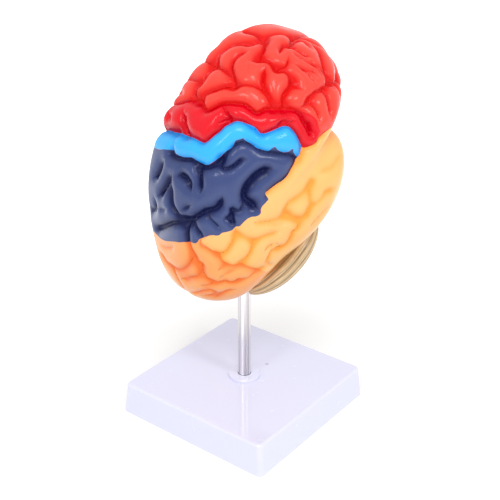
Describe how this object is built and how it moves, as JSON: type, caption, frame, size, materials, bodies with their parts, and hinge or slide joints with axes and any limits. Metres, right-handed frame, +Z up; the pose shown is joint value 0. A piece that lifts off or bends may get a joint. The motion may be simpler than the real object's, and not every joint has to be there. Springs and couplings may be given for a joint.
{
  "type": "brain anatomy model",
  "caption": "Painted right brain hemisphere with its cerebellum, standing on a steel rod in a square pale plastic base.",
  "frame": {"origin": "on the ground, under the middle of the model's box", "axes": "+Z up, X and Y along the sides of the base; the painted outer face looks towards -Y and a little towards -X"},
  "size_m": [0.124, 0.11, 0.2366],
  "materials": {
    "base_plastic": "moulded, pale lavender, half gloss",
    "rod_steel": "satin stainless",
    "screw_steel": "plain bright steel",
    "cerebrum_paint": "hand-painted cast plastic in seven fields of colour, half gloss",
    "cerebellum_paint": "painted cast plastic, half gloss"
  },
  "bodies": {
    "stand": {"base": "base_plastic", "rod": "rod_steel", "base_screw": "screw_steel", "base_washer": "screw_steel"},
    "brain": {"cerebrum": "cerebrum_paint", "cerebellum": "cerebellum_paint"}
  },
  "joints": [
    {"name": "brain_swivel", "type": "hinge", "parent": "stand", "child": "brain", "pos_m": [-0.00705, 0, 0.1495], "axis": [0, 0, 1], "continuous": true}
  ]
}
